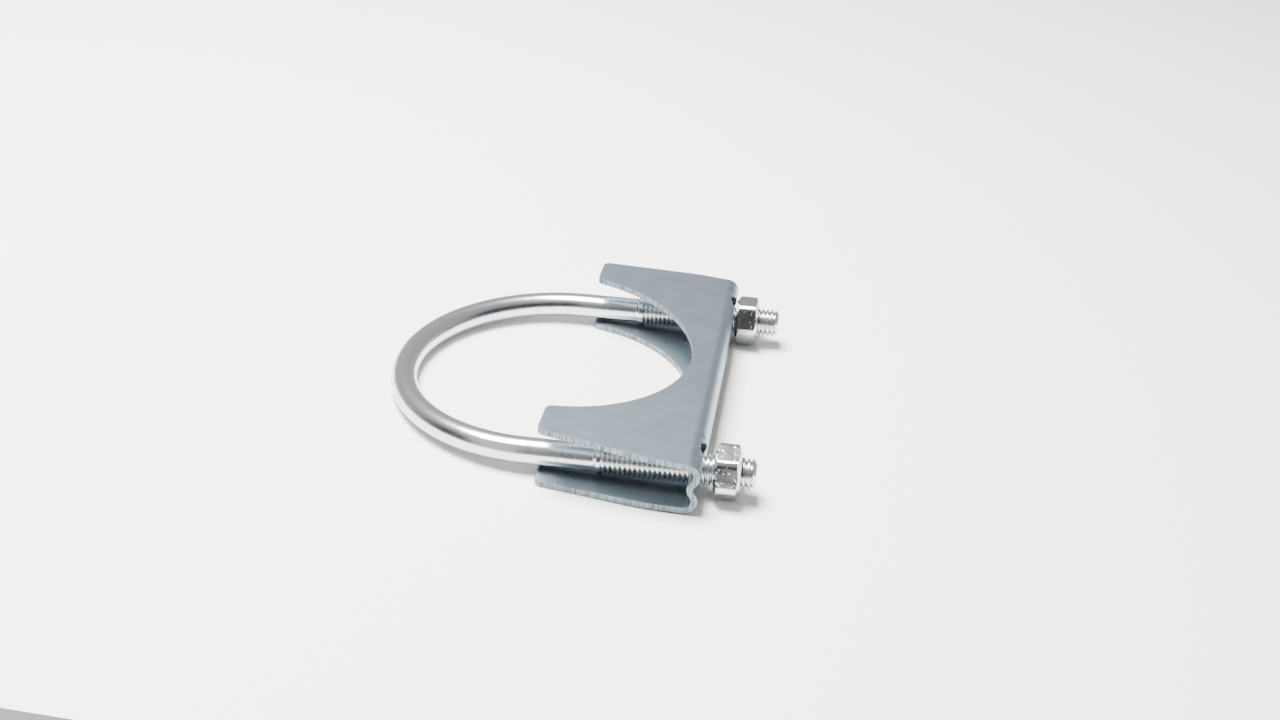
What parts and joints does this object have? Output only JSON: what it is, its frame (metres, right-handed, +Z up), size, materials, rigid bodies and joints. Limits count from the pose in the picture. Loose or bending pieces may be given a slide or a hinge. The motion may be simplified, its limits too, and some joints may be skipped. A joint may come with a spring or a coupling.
{
  "type": "saddle u-bolt clamp",
  "caption": "U-shaped round rod with threaded legs, held across a pipe by a pressed channel saddle with arc-cut jaws and a hex nut on each leg.",
  "frame": {"origin": "middle of the whole part's plan, at the level that the lower jaw tips lie on, with the bend 0.05 mm above it", "axes": "+X from the bend towards the nuts, +Y across the legs, +Z up, near enough along the pipe"},
  "size_m": [0.1042, 0.106, 0.0169],
  "materials": {
    "rod_zinc": "bright zinc plate on smooth drawn rod",
    "saddle_zinc": "satin blue-grey zinc plate on pressed sheet",
    "nut_zinc": "bright zinc plate on a forged nut"
  },
  "bodies": {
    "u_bolt": {"u_bolt": "rod_zinc"},
    "saddle": {"saddle": "saddle_zinc"},
    "nut_near": {"nut_near": "nut_zinc"},
    "nut_far": {"nut_far": "nut_zinc"}
  },
  "joints": [
    {"name": "saddle_slide", "type": "slide", "parent": "u_bolt", "child": "saddle", "axis": [0.9992, 0, 0.0389], "range_m": [-0.0275, 0.0035]},
    {"name": "nut_near_turn", "type": "hinge", "parent": "saddle", "child": "nut_near", "pos_m": [0.04498, -0.042, 0.00724], "axis": [0.9992, 0, 0.0389], "range_deg": [-7921, 1009]},
    {"name": "nut_far_turn", "type": "hinge", "parent": "saddle", "child": "nut_far", "pos_m": [0.04278, 0.042, 0.00715], "axis": [0.9992, 0, 0.0389], "range_deg": [-7921, 1009]}
  ],
  "couplings": [
    {"joint": "nut_near_turn", "follows": "saddle_slide", "rad_per_m": 5026.5},
    {"joint": "nut_far_turn", "follows": "saddle_slide", "rad_per_m": 5026.5}
  ]
}
